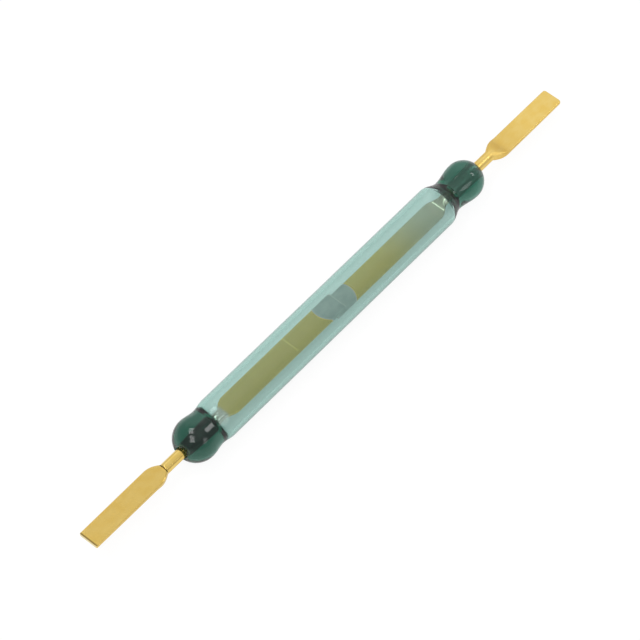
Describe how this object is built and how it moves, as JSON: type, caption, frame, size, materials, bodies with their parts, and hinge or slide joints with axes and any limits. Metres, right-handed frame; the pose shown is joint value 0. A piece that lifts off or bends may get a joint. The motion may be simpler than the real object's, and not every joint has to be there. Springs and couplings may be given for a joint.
{
  "type": "glass reed switch",
  "caption": "Magnetic reed switch: green glass capsule fused at both ends on to flat gold-plated spring reeds whose plated tips close in a magnetic field, with flat solder leads.",
  "frame": {"origin": "on the capsule's axis, midway along the overlap of the two contact tips", "axes": "+X along the capsule from the left lead to the right lead, +Z square to the flats of the reeds, towards the side where the left blade lies"},
  "size_m": [0.082, 0.0054, 0.0054],
  "materials": {
    "green_glass": "clear blue-green sealing glass, pale in the thin wall and dark green in the solid beads",
    "gold_plating": "satin gold plating over nickel-iron",
    "contact_plating": "satin grey contact plating"
  },
  "bodies": {
    "capsule": {"glass_capsule": "green_glass", "left_reed_lead": "gold_plating", "right_reed_lead": "gold_plating"},
    "left_blade": {"left_reed_blade": "gold_plating", "left_contact": "contact_plating"},
    "right_blade": {"right_reed_blade": "gold_plating", "right_contact": "contact_plating"}
  },
  "joints": [
    {"name": "left_flex", "type": "hinge", "parent": "capsule", "child": "left_blade", "pos_m": [-0.0169, 0, 0.00035], "axis": [0, 1, 0], "range_deg": [0, 0.3], "stiffness_Nm_per_rad": 0.4},
    {"name": "right_flex", "type": "hinge", "parent": "capsule", "child": "right_blade", "pos_m": [0.0169, 0, -0.00035], "axis": [0, 1, 0], "range_deg": [0, 0.3], "stiffness_Nm_per_rad": 0.4}
  ],
  "couplings": [
    {"joint": "right_flex", "follows": "left_flex", "ratio": 1}
  ]
}
